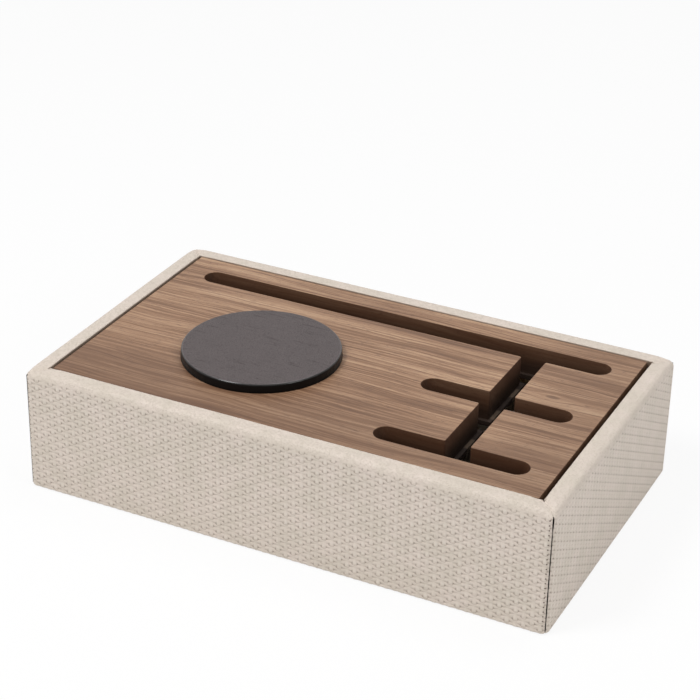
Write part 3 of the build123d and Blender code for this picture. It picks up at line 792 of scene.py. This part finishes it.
def dark_edge_paint():
    """Near-black edge paint, worn brown in places."""
    finish = Finish("dark_edge_paint", Specular_IOR_Level=0.06)
    x, y, z = finish.place()
    wear_and_painted_light = finish.noise(x, y, z, scale=0.9, detail=3.0)
    worn = finish.step(wear_and_painted_light, 0.54, 0.72)
    colour = finish.mix((12, 8, 6), (44, 32, 25), worn)
    return finish.done(colour, 0.6 + 0.2 * wear_and_painted_light, wear_and_painted_light, 0.1 * mm, 0.5)


def cream_thread():
    """Cream thread with the turns of its twist, and painted shade between the turns."""
    finish = Finish("cream_thread", Specular_IOR_Level=0.3)
    x, y, z = finish.place()
    twist = 0.5 + 0.5 * cosine((z + x) * 9.0)
    # Painted shade between the turns of the twist
    colour = finish.mix((186, 174, 160), (222, 212, 199), twist)
    return finish.done(colour, 0.6, twist, 0.08 * mm, 0.6)


# Charging pad


def crown_and_pucker(cover):
    """Crowns the outside of the pad's leather and puckers it a little round the rim."""
    points = points_of(cover)
    x, y = points[:, 0] - pad_x, points[:, 1] - pad_y
    out, turn = np.hypot(x, y), np.arctan2(y, x)
    outside = (out > pad_radius - pad_skin * 0.6) | (points[:, 2] > pad_high.z - pad_skin * 0.5)
    crown = np.clip(1 - (out / (pad_radius - pad_crown_edge)) ** 2, 0, 1)
    folds = np.sin(turn * pucker_folds + 2 * np.sin(turn * pucker_drift))
    pucker = folds * np.sin(turn * pucker_groups + 1.3)
    rim = hill(out - pad_radius + pad_rim_from_edge, pad_rim_width)
    points[:, 2] += outside * (crown * pad_crown + (pucker * pad_pucker - pad_rim_dip) * rim)
    swell = outside * (points[:, 2] < pad_high.z - 1 * mm) * pucker * pad_swell
    points[:, 0] += swell * np.cos(turn)
    points[:, 1] += swell * np.sin(turn)
    put_points(cover, points)


def pad_cover(material):
    """The leather cover of the pad: a low drum with a rounded rim, hollow below."""
    height = pad_high.z - pad_low.z
    cover = start(
        "pad_cover", bpy.ops.mesh.primitive_cylinder_add,
        vertices=160, radius=pad_radius, depth=height,
        location=(pad_x, pad_y, (pad_low.z + pad_high.z) / 2),
    )
    bpy.ops.object.transform_apply(location=True, rotation=True, scale=True)
    begin_edit(cover, "FACE", lambda face: face.normal.z > 0.9)
    bpy.ops.mesh.bevel(offset=pad_edge, offset_type="OFFSET", segments=5, profile=0.5, affect="EDGES")
    end_edit()
    begin_edit(cover, "FACE", lambda face: face.normal.z > 0.999)
    for ring in pad_rings:
        bpy.ops.mesh.inset(thickness=ring * mm)
    bpy.ops.mesh.poke()
    end_edit()
    begin_edit(cover, "FACE", lambda face: face.normal.z < -0.9)
    bpy.ops.mesh.inset(thickness=pad_skin)
    bpy.ops.mesh.extrude_region_move(TRANSFORM_OT_translate={"value": (0, 0, height - pad_skin)})
    end_edit()
    cover.modifiers.new("rounding", "SUBSURF").levels = 1
    apply_modifiers(cover)
    crown_and_pucker(cover)
    smooth(cover, 50)
    dress(cover, material, "dark_leather", "lid", "pad_leather_cover")


def pad_leather():
    """Dark leather with a fine grain and faint creases with painted shade, near black on its sides, its
    top painted grey as a reflection, a little glossy round its rim.
    """
    finish = Finish("pad_leather", Specular_IOR_Level=0.1, Sheen_Weight=0.04, Coat_Roughness=0.2)
    x, y, z = finish.place()
    pebble = finish.step(finish.cell_edges(x, y, z, scale=1.1), 0.0, 0.16)
    soft = finish.noise(x, y, z, scale=0.09, detail=3.0)
    fine = finish.noise(x, y, z, scale=2.5, detail=3.0)
    upward = finish.facing()[2]
    top = finish.step(upward, 0.7, 0.97)
    rim = finish.step(upward, 0.25, 0.6) * finish.step(upward, 0.99, 0.9)
    crease = finish.step(finish.noise(x * 0.045, y * 0.55, z, detail=3.0, distortion=0.4), 0.6, 0.67)
    colour = finish.mix((90, 83, 83), (102, 94, 94), soft)
    # Painted shade along the faint creases
    colour = finish.mix(colour, (58, 51, 50), crease * 0.45)
    # The top painted grey as a reflection of the bright surroundings; the sides near black
    colour = finish.mix((12, 8, 6), colour, top)
    colour = finish.mix((13, 10, 9), colour, 0.55 + 0.45 * pebble)
    finish.set("Coat Weight", rim * 0.6)
    roughness = 0.3 + 0.17 * top + 0.08 * soft + 0.06 * fine
    height = pebble * 0.5 + fine * 0.3 - crease * 0.6
    return finish.done(colour, roughness, height, 0.1 * mm, 0.5)


# Walnut


def walnut_figure(finish, x, y, z):
    """The colour of the wood with its grain along X, and its fibre and its pores."""
    wander = finish.noise(x * 0.006, y * 0.016, z * 0.016, detail=2.0) - 0.5
    ripple = finish.noise(x * 0.03, y * 0.05, z * 0.05, detail=1.0) - 0.5
    knot = ((x - knot_place[0]) / knot_size[0]) ** 2 + ((y - knot_place[1]) / knot_size[1]) ** 2
    spread = (knot_place[1] - y) * (1 + knot * knot) ** -1.0 * 0.8
    across = y + spread + 0.45 * z + wander * 16 + ripple * 1.6
    level = z - 0.2 * y + wander * 10
    bands = finish.noise(x * 0.004, across * 0.09, level * 0.03, detail=3.0, roughness=0.6)
    streaks = finish.noise(x * 0.009, across * 0.62, level * 0.3, detail=4.0, roughness=0.68)
    fibre = finish.noise(x * 0.045, across * 2.4, level * 2.4, detail=3.0, roughness=0.6)
    pores = finish.noise(x * 0.2, y * 2.2, z * 2.2, detail=1.0)
    pore = finish.step(pores, 0.61, 0.7)
    colour = finish.ramp(
        0.5 + (bands * 0.45 + streaks * 0.55 - 0.5) * 2.2,
        (0.14, (86, 58, 40)), (0.36, (124, 91, 66)), (0.52, (152, 118, 91)),
        (0.66, (172, 138, 109)), (0.88, (194, 163, 134)),
    )
    ring = across * 0.17 + bands * 3.0
    ring = ring - floor(ring)
    colour = finish.mix(colour, (98, 68, 48), ring ** 5 * finish.step(streaks, 0.62, 0.4) * 0.7)
    colour = finish.mix(colour, (118, 88, 70), finish.step(fibre, 0.52, 0.74) * 0.55)
    colour = finish.mix(colour, (88, 63, 50), pore * 0.65)
    colour = finish.mix(colour, (80, 53, 38), finish.step(knot, 0.22, 0.04) * 0.6)
    edge = wander * 60
    front_right_darkening = finish.step(y + edge, *dark_front) + finish.step(x + edge, *dark_right) * 0.55
    colour = finish.mix(colour, (92, 63, 43), smaller(front_right_darkening, 1.0) * 0.44)
    return colour, fibre, pore


def well_inside_lid(finish, x, y):
    """1 inside the lid's outline and 0 at its outer edges."""
    middle = (lid_low + lid_high) / (2 * mm)
    half = (lid_high - lid_low) / (2 * mm)
    within = finish.step((x - middle.x) ** 2, (half.x - 1) ** 2, (half.x - 3) ** 2)
    return within * finish.step((y - middle.y) ** 2, (half.y - 1) ** 2, (half.y - 3) ** 2)


def walnut():
    """Oiled walnut, darker on its end grain, with painted shade down the walls of its slots and of the
    pad's recess.
    """
    finish = Finish("walnut", Specular_IOR_Level=0.45)
    x, y, z = finish.place()
    colour, fibre, pore = walnut_figure(finish, x, y, z)
    normal_x, _, normal_z = finish.facing()
    end_grain = finish.step(normal_x * normal_x, 0.4, 0.8)
    within = well_inside_lid(finish, x, y)
    # Painted shade on the walls of the slots and of the pad's recess, fainter on the lid's outer sides
    slot_wall_shade = finish.step(normal_z * normal_z, 0.6, 0.2) * (0.35 + 0.65 * within)
    deep = finish.step(z, lid_high.z / mm - 1, lid_low.z / mm + 3)
    colour = finish.mix(colour, (72, 41, 23), slot_wall_shade * 0.8)
    colour = finish.mix(colour, (62, 42, 31), end_grain * 0.4)
    # More painted shade on those walls, growing towards the bottom of the lid
    colour = finish.mix(colour, (22, 10, 4), slot_wall_shade * deep * within * 0.85)
    return finish.done(colour, 0.46 + 0.14 * fibre, fibre * 0.35 - pore * 0.65, 0.1 * mm, 0.45)


# Finishes of the other pieces


def speckled(name, light, dark, scale, roughness=0.7, relief=0.1, **constants):
    """A plain material with a fine two-tone speckle and a matching relief."""
    finish = Finish(name, **constants)
    x, y, z = finish.place()
    speckle = finish.noise(x, y, z, scale=scale, detail=4.0, roughness=0.65)
    cloud = finish.noise(x, y, z, scale=scale * 0.08, detail=2.0)
    share = finish.step(speckle * 0.8 + cloud * 0.2, 0.35, 0.65)
    colour = finish.mix(dark, light, share)
    return finish.done(colour, roughness + 0.15 * (speckle - 0.5), speckle, relief * mm, 0.6)


def slot_floor():
    """The plate under the lid: dark as painted shade, with short lengths of painted light along the
    slots' foot.
    """
    finish = Finish("slot_floor_board", Specular_IOR_Level=0.25)
    x, y, z = finish.place()
    speckle = finish.noise(x, y, z, scale=0.8, detail=4.0, roughness=0.65)
    # Painted light at the given lengths along Y
    paler = 0.0
    for middle in lit_lengths:
        paler = finish.step((y - middle) ** 2, lit_fades_to**2, lit_fades_from**2) + paler
    paler = smaller(paler, 1.0) * (0.3 + 0.5 * speckle)
    # Dark all over as painted shade
    colour = finish.mix((36, 26, 20), (54, 41, 33), speckle)
    colour = finish.mix(colour, (128, 110, 92), paler)
    return finish.done(colour, 0.55 + 0.2 * speckle, speckle, 0.06 * mm, 0.6)


def brushed(name, light, dark, along=(0.05, 2.5, 2.5), roughness=0.32):
    """Metal with fine scratches along one direction."""
    finish = Finish(name, Metallic=1.0)
    x, y, z = finish.place()
    scratch = finish.noise(x * along[0], y * along[1], z * along[2], detail=3.0)
    colour = finish.mix(dark, light, scratch)
    return finish.done(colour, roughness + 0.2 * (scratch - 0.5), scratch, 0.03 * mm, 0.4)


def beech():
    """Pale beech with short dark flecks along X and Y."""
    finish = Finish("beech")
    x, y, z = finish.place()
    streaks = finish.noise(x * 0.03, y * 0.4, z * 0.9, detail=3.0)
    fleck = finish.step(finish.noise(x * 0.5, y * 0.5, z * 3.0, detail=1.0), 0.66, 0.72)
    colour = finish.mix((196, 160, 118), (220, 190, 150), streaks)
    colour = finish.mix(colour, (158, 118, 80), fleck * 0.6)
    return finish.done(colour, 0.55, streaks, 0.06 * mm, 0.4)


def cloth(name, light, dark, pitch=0.6, fuzz=0.5):
    """A napped cloth: a fine weave under a soft pile."""
    finish = Finish(name, Sheen_Weight=0.35, Sheen_Roughness=0.5)
    x, y, z = finish.place()
    turn = 2 * math.pi / pitch
    threads = 0.5 + 0.25 * cosine((x + z) * turn) + 0.25 * cosine((y + z) * turn)
    pile = finish.noise(x, y, z, scale=1.8, detail=4.0, roughness=0.7)
    patch = finish.noise(x, y, z, scale=0.05, detail=2.0)
    share = threads * (0.6 - 0.4 * fuzz) + pile * (0.3 + 0.4 * fuzz) + patch * 0.1
    colour = finish.mix(dark, light, finish.step(share, 0.25, 0.75))
    return finish.done(colour, 0.9, share, 0.12 * mm, 0.6)


def copper():
    """The coil's wire, wound in rings round the pad's centre, with painted light on each turn and painted
    shade between turns.
    """
    finish = Finish("copper", Metallic=0.85)
    x, y, z = finish.place()
    east, north = x - pad_x / mm, y - pad_y / mm
    out = (east * east + north * north) ** 0.5
    wire = 0.5 + 0.5 * cosine(out * (2 * math.pi / wire_pitch))
    # Painted light on each turn's crown and painted shade between the turns
    colour = finish.mix((120, 62, 34), (206, 128, 84), wire)
    return finish.done(colour, 0.45 - 0.15 * wire, wire, 0.3 * mm, 0.8)


def circuit_board():
    """Green solder mask over branching tracks."""
    finish = Finish("circuit_board", Specular_IOR_Level=0.5)
    x, y, z = finish.place()
    track = finish.step(finish.cell_edges(x, y, z, scale=0.22, randomness=0.35), 0.09, 0.06)
    colour = finish.mix((18, 74, 46), (34, 108, 66), track)
    return finish.done(colour, 0.38 + 0.12 * track, track, 0.05 * mm, 0.6)


def can():
    """A capacitor: dark sleeve with a bare aluminium top."""
    finish = Finish("capacitor_can")
    x, y, z = finish.place()
    top = finish.step(finish.facing()[2], 0.6, 0.9)
    scratch = finish.noise(x, y, z, scale=2.0, detail=3.0)
    sleeve = finish.mix((30, 34, 48), (46, 50, 66), scratch)
    finish.set("Metallic", top)
    colour = finish.mix(sleeve, (198, 200, 204), top)
    return finish.done(colour, 0.35 + 0.15 * scratch, scratch, 0.03 * mm, 0.4)


def tape():
    """The transformer's yellow tape, wound in level turns, with a line of painted shade where one turn
    meets the next.
    """
    finish = Finish("transformer_tape", Specular_IOR_Level=0.5)
    x, y, z = finish.place()
    turns = 0.5 + 0.5 * cosine(z * (2 * math.pi / tape_pitch))
    crease = finish.noise(x, y, z * 3, scale=0.6, detail=3.0)
    colour = finish.mix((196, 158, 46), (222, 190, 80), crease)
    # Painted shade in the narrow groove where one turn meets the next
    colour = finish.mix(colour, (150, 116, 34), finish.step(turns, 0.12, 0.0))
    return finish.done(colour, 0.35 + 0.2 * crease, turns + 0.3 * crease, 0.08 * mm, 0.5)


def welded(name):
    """A CAD node with its faces joined along their edges."""
    node = frame["nodes"][name]
    weld = node.modifiers.new("one_skin", "WELD")
    weld.merge_threshold = skin_weld
    return node


def soften(name, width, segments, degrees):
    """Rounds a CAD node's sharp edges and keeps its flat faces looking flat."""
    node = welded(name)
    bevel = node.modifiers.new("soft_edges", "BEVEL")
    bevel.width = width
    bevel.segments = segments
    bevel.limit_method = "ANGLE"
    bevel.angle_limit = math.radians(degrees)
    even = node.modifiers.new("even_shading", "WEIGHTED_NORMAL")
    even.weight = 90


def wall_core():
    """A hidden rounded block that the wall boards are kept inside, clear of the leather's corners."""
    low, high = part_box("front_wall_board")
    half_x, half_y = high.x - core_gap, -low.y - core_gap
    middle = (0, 0, high.z / 2 - core_overrun)
    core = start("wall_core", bpy.ops.mesh.primitive_cube_add, size=1, location=middle)
    bpy.ops.transform.resize(value=(half_x * 2, half_y * 2, high.z + 2 * core_overrun))
    bpy.ops.object.transform_apply(location=True, rotation=True, scale=True)
    begin_edit(core)
    bpy.ops.mesh.bevel(offset=board_corner, offset_type="OFFSET", segments=6, profile=0.5, affect="EDGES")
    end_edit()
    core.hide_render = True
    core.hide_set(True)
    return core


def cut_in_cells(mesh, low, high, axes):
    """Cuts a panel across along its flat axes, so that it can lie unevenly."""
    for axis in axes:
        for place in np.arange(low[axis] + cloth_cell, high[axis] - cloth_cell / 2, cloth_cell):
            point, normal = [0, 0, 0], [0, 0, 0]
            point[axis], normal[axis] = place, 1
            geometry = mesh.verts[:] + mesh.edges[:] + mesh.faces[:]
            bmesh.ops.bisect_plane(mesh, geom=geometry, plane_co=point, plane_no=normal)


def cloth_panel(name, material, slot):
    """A glued cloth or felt panel: the node's outline with rolled edges and a slightly uneven lie."""
    mesh = bmesh.new()
    mesh.from_mesh(frame["nodes"][name].data)
    bmesh.ops.remove_doubles(mesh, verts=mesh.verts, dist=skin_weld)
    bmesh.ops.dissolve_limit(mesh, angle_limit=math.radians(1), verts=mesh.verts, edges=mesh.edges)
    sharp = [edge for edge in mesh.edges if edge.calc_face_angle(0) > math.radians(50)]
    bmesh.ops.bevel(
        mesh, geom=sharp, offset=cloth_edge, offset_type="OFFSET",
        segments=3, profile=0.5, affect="EDGES",
    )
    low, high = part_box(name)
    size = np.array(high - low)
    flat = [axis for axis in range(3) if axis != np.argmin(size)]
    cut_in_cells(mesh, low, high, flat)
    bmesh.ops.recalc_face_normals(mesh, faces=mesh.faces)
    piece = start(name + "_cloth", bpy.ops.mesh.primitive_plane_add)
    mesh.to_mesh(piece.data)
    mesh.free()
    points = points_of(piece)
    along, across = points[:, flat[0]], points[:, flat[1]]
    first, second, slant = lie_lengths
    lie = np.sin(along / first) * np.sin(across / second + along / slant)
    thin = np.argmin(size)
    inward = 1 if low[thin] < 0.001 * mm else -np.sign((low[thin] + high[thin]) / 2)
    points[:, thin] += inward * (0.5 + 0.5 * lie) * cloth_lie
    put_points(piece, points)
    smooth(piece, 40)
    dress(piece, material, slot, "box", name)


def dress_nodes():
    """Gives every shown CAD node the finish of its material slot."""
    finishes = {
        "walnut": walnut(),
        "wall_board": speckled("wall_board", (176, 146, 110), (140, 112, 82), 1.2),
        "beech": beech(),
        "lining": cloth("lining", (196, 182, 162), (166, 150, 130)),
        "felt": cloth("felt", (66, 58, 52), (38, 33, 30), fuzz=1.0),
        "grommet_rubber": speckled("grommet_rubber", (34, 32, 31), (22, 21, 20), 1.5, 0.6, 0.05),
        "slot_floor_board": slot_floor(),
        "screw_steel": brushed("screw_steel", (206, 206, 204), (150, 150, 150), (1.5, 1.5, 0.4)),
        "foam_tape": speckled("foam_tape", (40, 40, 40), (20, 20, 20), 3.0, 0.9, 0.3),
        "black_plastic": speckled("black_plastic", (34, 34, 36), (24, 24, 26), 3.0, 0.5, 0.05),
        "ferrite": speckled("ferrite", (58, 58, 60), (38, 38, 40), 2.5, 0.6, 0.06),
        "copper": copper(),
        "circuit_board": circuit_board(),
        "socket_steel": brushed("socket_steel", (214, 214, 216), (170, 170, 172)),
        "tongue_plastic": speckled("tongue_plastic", (232, 232, 226), (214, 214, 208), 2.0, 0.4, 0.03),
        "pin_metal": brushed("pin_metal", (226, 226, 224), (186, 186, 184), roughness=0.2),
        "transformer_tape": tape(),
        "capacitor_can": can(),
    }
    slots = {part["node"]: part["material_slot"] for part in frame["record"]["subparts"]}
    for name, on in cloth_panels.items():
        cloth_panel(name, finishes[slots[name]], slots[name])
    for name, node in frame["nodes"].items():
        if not node.hide_render:
            node.material_slots[0].material = finishes[slots[name]]
    soften("walnut_lid", lid_edge, segments=3, degrees=50)
    core = wall_core()
    for side in ("front", "back", "left", "right"):
        inside = welded(side + "_wall_board").modifiers.new("rounded_corners", "BOOLEAN")
        inside.operation = "INTERSECT"
        inside.solver = "EXACT"
        inside.object = core


# Studio


def make_camera():
    """The camera at the photograph's place, turned by azimuth, elevation and a little roll."""
    a, e, roll = camera_azimuth, camera_elevation, camera_roll
    right = Vector((math.cos(a), math.sin(a), 0))
    back = Vector((math.sin(a) * math.cos(e), -math.cos(a) * math.cos(e), math.sin(e)))
    up = back.cross(right)
    level = Matrix((right, up, back)).transposed()
    rolled = level @ Matrix.Rotation(roll, 3, "Z")
    bpy.ops.object.camera_add(location=camera_place, rotation=rolled.to_euler())
    camera = bpy.context.active_object
    camera.data.lens = camera_lens
    camera.data.clip_end = 20
    bpy.context.scene.camera = camera


def seen(tree):
    """1 for rays that show the background: camera, mirror and glass rays."""
    path = tree.tree.nodes.new("ShaderNodeLightPath")
    names = ("Is Camera Ray", "Is Glossy Ray", "Is Transmission Ray")
    camera, glossy, transmission = (Socket(tree, path.outputs[name]) for name in names)
    return larger(larger(camera, glossy), transmission)


def make_world():
    """A world that shows white and lights the scene more faintly."""
    world = bpy.data.worlds.new("studio")
    world.use_nodes = True
    bpy.context.scene.world = world
    tree = Tree(world.node_tree)
    background = world.node_tree.nodes["Background"]
    background.inputs["Color"].default_value = (1, 1, 1, 1)
    shown = seen(tree)
    tree.feed(background.inputs["Strength"], shown + (1 - shown) * ambient_light)


def make_floor():
    """A pale floor that looks white and keeps a soft shadow."""
    place = (0, 0, -floor_drop)
    floor_plane = start("floor", bpy.ops.mesh.primitive_plane_add, size=8, location=place)
    bpy.ops.object.transform_apply(location=True, rotation=True, scale=True)
    material = bpy.data.materials.new("pale_floor")
    material.use_nodes = True
    tree = Tree(material.node_tree)
    matt = tree.node("ShaderNodeBsdfDiffuse", None, {"Color": (floor_shade, floor_shade, floor_shade, 1)})
    glow = tree.node("ShaderNodeEmission", None, {"Color": (1, 1, 1, 1), "Strength": 1.0})
    both = tree.node("ShaderNodeMixShader", None, {0: seen(tree) * floor_glow, 1: matt, 2: glow})
    tree.feed(material.node_tree.nodes["Material Output"].inputs["Surface"], both)
    floor_plane.data.materials.append(material)


def make_lamp(name, place, size, power):
    """A square soft lamp aimed at the box."""
    bpy.ops.object.light_add(type="AREA", location=place)
    lamp = bpy.context.active_object
    lamp.name = name
    lamp.data.size = size
    lamp.data.energy = power
    lamp.rotation_euler = (Vector(lamp_target) - Vector(place)).to_track_quat("-Z", "Y").to_euler()


bpy.context.scene.view_settings.view_transform = "Standard"
make_camera()
make_world()
make_floor()
make_lamp("key_lamp", place=(-0.8, -1.0, 1.9), size=0.7, power=27)
make_lamp("top_lamp", place=(0.3, 0.6, 2.0), size=1.0, power=8)
make_lamp("side_lamp", place=(1.7, -0.4, 1.3), size=0.9, power=9.5)

leather = cream_leather()
leather_wrap("front", 0, half_length, half_width, leather)
leather_wrap("right", 1, half_width, half_length, leather)
leather_wrap("back", 2, half_length, half_width, leather)
leather_wrap("left", 3, half_width, half_length, leather)
corner_edge_paint(dark_edge_paint())
corner_stitches(cream_thread())
pad_cover(pad_leather())
dress_nodes()
